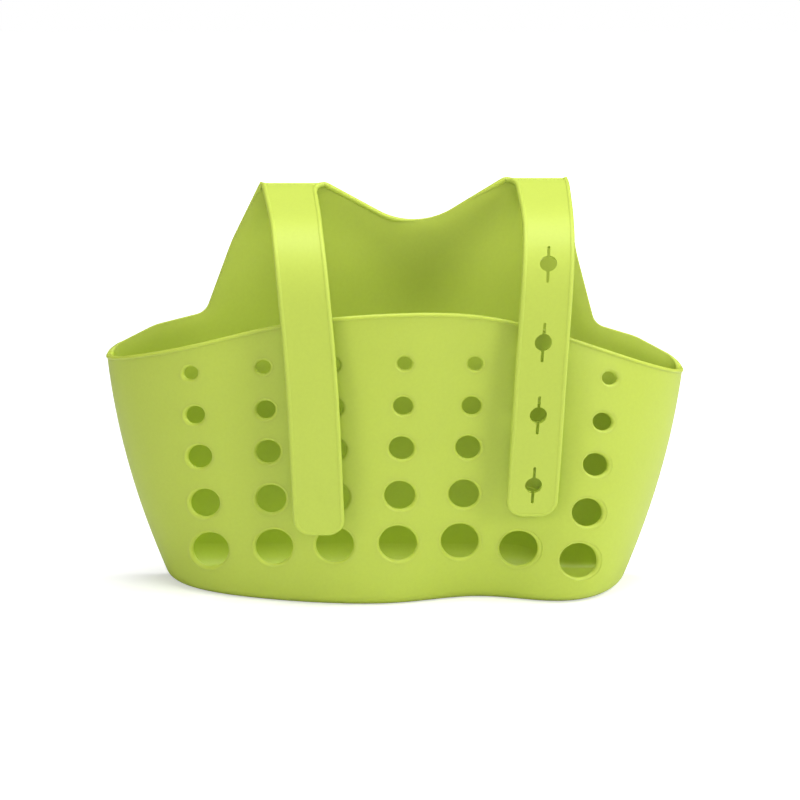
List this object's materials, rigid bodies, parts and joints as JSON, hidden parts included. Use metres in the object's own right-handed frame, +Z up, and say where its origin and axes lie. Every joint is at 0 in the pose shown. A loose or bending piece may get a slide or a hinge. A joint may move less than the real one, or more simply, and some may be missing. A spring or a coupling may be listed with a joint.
{
  "type": "kitchen sink caddy",
  "caption": "Hanging soft plastic sink basket with a perforated lobed front wall, a horned back panel and two bendable button straps, one with keyholes, for sponges and brushes.",
  "frame": {"origin": "middle of the flat base, on its underside", "axes": "+Z up, -Y towards the perforated front wall, +X to the right seen from the front"},
  "size_m": [0.2061, 0.0624, 0.1443],
  "materials": {
    "basket_plastic": "satin lime green soft moulded plastic",
    "strap_plastic": "satin lime green soft moulded plastic, thin band"
  },
  "bodies": {
    "basket": {"basket": "basket_plastic"},
    "left_bridge": {"left_strap_bridge": "strap_plastic"},
    "left_shoulder": {"left_strap_shoulder": "strap_plastic"},
    "left_upper": {"left_strap_upper": "strap_plastic"},
    "left_lower": {"left_strap_lower": "strap_plastic"},
    "left_tip": {"left_strap_tip": "strap_plastic", "snap_stud": "strap_plastic"},
    "right_bridge": {"right_strap_bridge": "strap_plastic"},
    "right_shoulder": {"right_strap_shoulder": "strap_plastic"},
    "right_upper": {"right_strap_upper": "strap_plastic"},
    "right_lower": {"right_strap_lower": "strap_plastic"},
    "right_tip": {"right_strap_tip": "strap_plastic"}
  },
  "joints": [
    {"name": "left_crease_fold", "type": "hinge", "parent": "basket", "child": "left_bridge", "pos_m": [-0.0379, 0.0219, 0.1418], "axis": [-1, 0, 0], "range_deg": [0, 200]},
    {"name": "left_shoulder_bend", "type": "hinge", "parent": "left_bridge", "child": "left_shoulder", "pos_m": [-0.0333, -0.02456, 0.13192], "axis": [-1, 0, 0], "range_deg": [0, 70]},
    {"name": "left_upper_bend", "type": "hinge", "parent": "left_shoulder", "child": "left_upper", "pos_m": [-0.03051, -0.03739, 0.10278], "axis": [-1, 0, 0], "range_deg": [0, 65]},
    {"name": "left_lower_bend", "type": "hinge", "parent": "left_upper", "child": "left_lower", "pos_m": [-0.02806, -0.03807, 0.0772], "axis": [-1, 0, 0], "range_deg": [0, 65]},
    {"name": "left_tip_bend", "type": "hinge", "parent": "left_lower", "child": "left_tip", "pos_m": [-0.02686, -0.03632, 0.05167], "axis": [-1, 0, 0], "range_deg": [0, 65]},
    {"name": "right_crease_fold", "type": "hinge", "parent": "basket", "child": "right_bridge", "pos_m": [0.0517, 0.0219, 0.1436], "axis": [-1, 0, 0], "range_deg": [0, 200]},
    {"name": "right_shoulder_bend", "type": "hinge", "parent": "right_bridge", "child": "right_shoulder", "pos_m": [0.0517, -0.02048, 0.13381], "axis": [-1, 0, 0], "range_deg": [0, 70]},
    {"name": "right_upper_bend", "type": "hinge", "parent": "right_shoulder", "child": "right_upper", "pos_m": [0.05028, -0.03318, 0.10795], "axis": [-1, 0, 0], "range_deg": [0, 65]},
    {"name": "right_lower_bend", "type": "hinge", "parent": "right_upper", "child": "right_lower", "pos_m": [0.04888, -0.03426, 0.08239], "axis": [-1, 0, 0], "range_deg": [0, 65]},
    {"name": "right_tip_bend", "type": "hinge", "parent": "right_lower", "child": "right_tip", "pos_m": [0.0476, -0.03221, 0.05689], "axis": [-1, 0, 0], "range_deg": [0, 65]}
  ]
}
